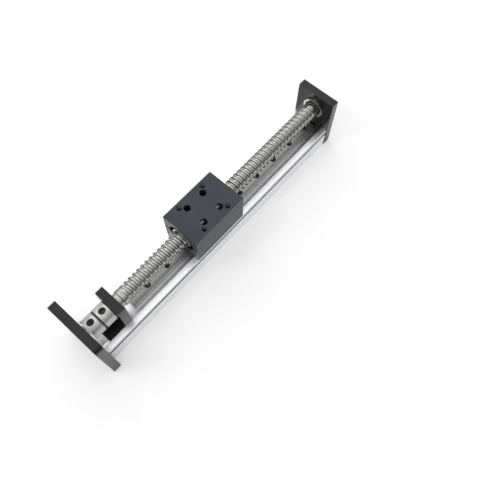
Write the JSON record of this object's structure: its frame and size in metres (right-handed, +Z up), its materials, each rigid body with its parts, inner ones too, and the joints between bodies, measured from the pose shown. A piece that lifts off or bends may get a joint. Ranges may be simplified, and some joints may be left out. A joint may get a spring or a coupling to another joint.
{
  "type": "ball screw linear module",
  "caption": "Channel-base linear module: a ball screw between two bearings drives a carriage block along a guide rail, with a flanged motor plate and shaft coupling.",
  "frame": {"origin": "middle of the base's underside, halfway along the whole module", "axes": "+X along the screw from the motor plate to the end plate, +Y to the left, +Z up from the base through the screw"},
  "size_m": [0.316, 0.057, 0.0725],
  "materials": {
    "bright_aluminium": "bright extruded aluminium with fine lengthwise lines",
    "black_anodised": "black anodised aluminium, satin",
    "grey_anodised": "dark grey anodised aluminium, satin, finely milled",
    "rail_steel": "ground guide rail steel",
    "ground_steel": "ground and polished hardened steel",
    "ring_steel": "ground bearing steel",
    "ball_steel": "polished balls",
    "turned_aluminium": "fine turned aluminium, clear anodised",
    "spring_steel": "dark phosphated spring steel",
    "black_screws": "black oxide socket screws",
    "black_polymer": "black moulded polymer",
    "black_rubber": "moulded black rubber seal",
    "red_seal": "moulded rubber seal",
    "brass_cage": "pressed cage"
  },
  "bodies": {
    "root": {"base_extrusion": "bright_aluminium", "motor_plate": "black_anodised", "end_plate": "black_anodised", "bearing_bracket": "black_anodised", "guide_rail": "rail_steel", "rail_screws": "black_screws", "motor_plate_screws": "black_screws", "end_plate_screws": "black_screws", "bracket_screws": "black_screws", "fixed_bearing_outer_ring": "ring_steel", "fixed_bearing_shields": "black_rubber", "float_bearing_outer_ring": "ring_steel", "float_bearing_shields": "black_rubber"},
    "screw": {"ball_screw": "ground_steel", "shaft_spacer": "ring_steel", "shaft_retaining_ring": "spring_steel", "coupling_motor_hub": "turned_aluminium", "coupling_screw_hub": "turned_aluminium", "coupling_disc": "black_polymer", "coupling_set_screws": "black_screws", "fixed_bearing_inner_ring": "ring_steel", "fixed_bearing_balls": "ball_steel", "fixed_bearing_cage": "brass_cage", "float_bearing_inner_ring": "ring_steel", "float_bearing_balls": "ball_steel", "float_bearing_cage": "brass_cage"},
    "carriage": {"carriage_block": "grey_anodised", "ball_nut": "ring_steel", "nut_wipers": "black_polymer", "nut_balls": "ball_steel", "nut_deflectors": "black_polymer", "guide_block": "rail_steel", "guide_block_end_caps": "black_polymer", "guide_block_seals": "red_seal", "guide_block_balls": "ball_steel", "guide_block_screws": "black_screws"}
  },
  "joints": [
    {"name": "screw_spin", "type": "hinge", "parent": "root", "child": "screw", "pos_m": [0, 0, 0.044], "axis": [1, 0, 0], "range_deg": [-9008, 5408]},
    {"name": "carriage_slide", "type": "slide", "parent": "root", "child": "carriage", "axis": [1, 0, 0], "range_m": [-0.075, 0.125]}
  ],
  "couplings": [
    {"joint": "screw_spin", "follows": "carriage_slide", "rad_per_m": -1256.6}
  ]
}
